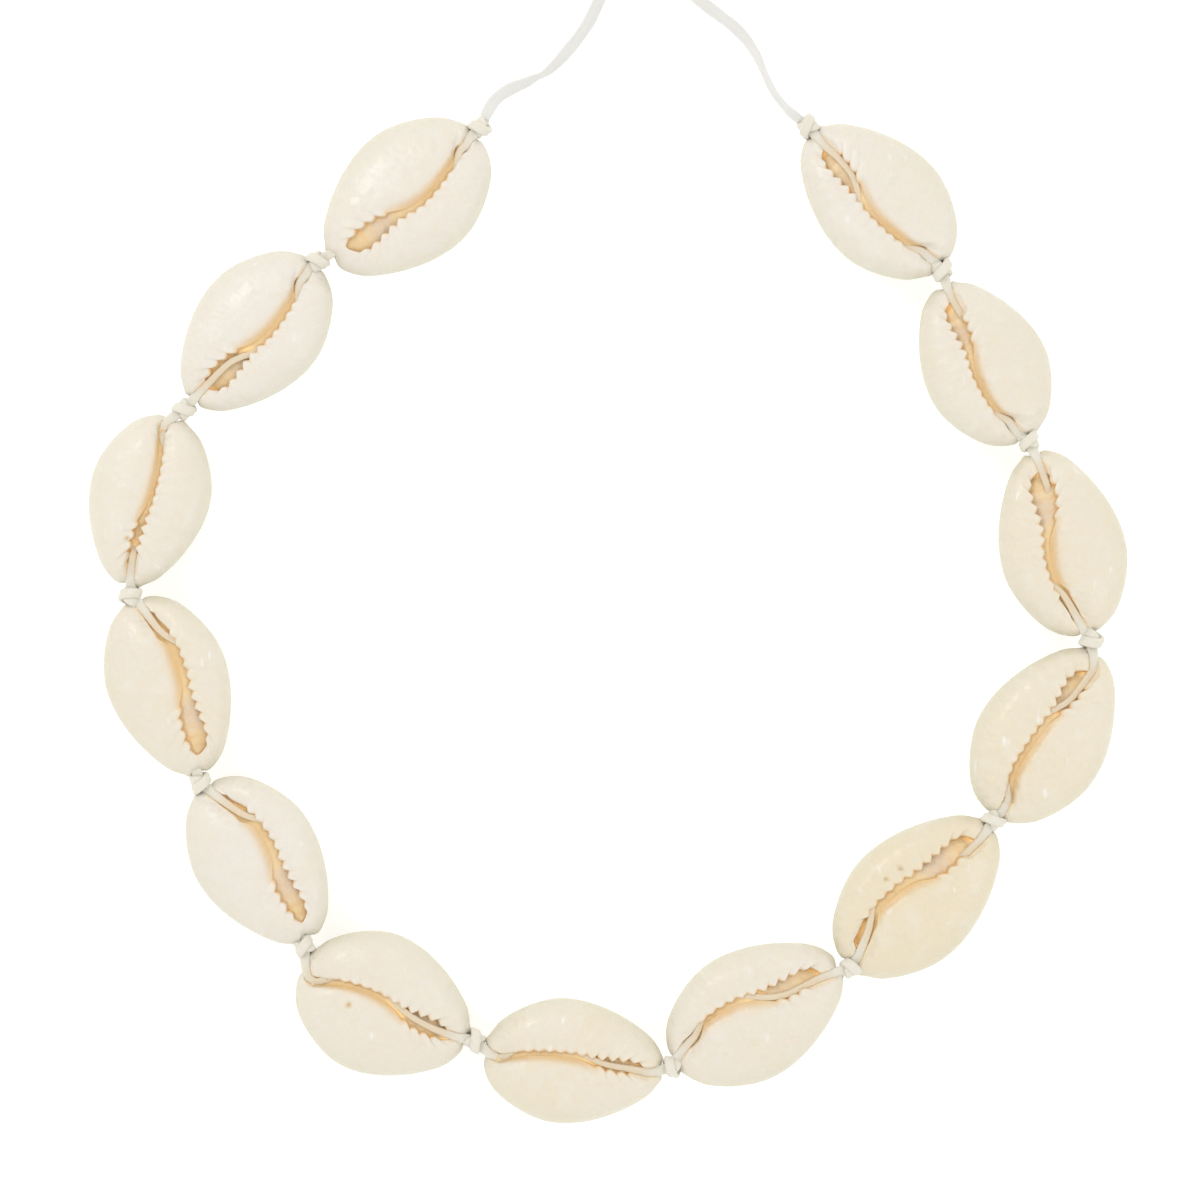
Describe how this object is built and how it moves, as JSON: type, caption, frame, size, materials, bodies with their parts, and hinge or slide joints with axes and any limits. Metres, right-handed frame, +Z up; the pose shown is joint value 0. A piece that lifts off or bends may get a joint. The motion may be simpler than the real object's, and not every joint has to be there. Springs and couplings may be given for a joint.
{
  "type": "cowrie shell choker",
  "caption": "Choker of whole cowrie shells, threaded end to end through their slits on a flat cord that is knotted between each pair, lying open with its two tie tails joined.",
  "frame": {"origin": "on the surface that the choker lies on, under the middle of the ring of shells", "axes": "+Z up from the surface, +X to the right and +Y from the ring towards the two tails and the closure"},
  "size_m": [0.1169, 0.1448, 0.0104],
  "materials": {
    "shell": "naturally glossy cream-white shell, yellower on some shells, with an orange-tan slit and a paler toothed lip",
    "cord": "soft flat off-white cotton cord with a little fuzz"
  },
  "bodies": {
    "root": {"shell_01": "shell", "shell_02": "shell", "shell_03": "shell", "shell_04": "shell", "shell_05": "shell", "shell_06": "shell", "shell_07": "shell", "shell_08": "shell", "shell_09": "shell", "shell_10": "shell", "shell_11": "shell", "shell_12": "shell", "shell_13": "shell", "knotted_cord": "cord", "tail_left": "cord", "tail_right": "cord", "closure_knot": "cord"}
  },
  "joints": []
}
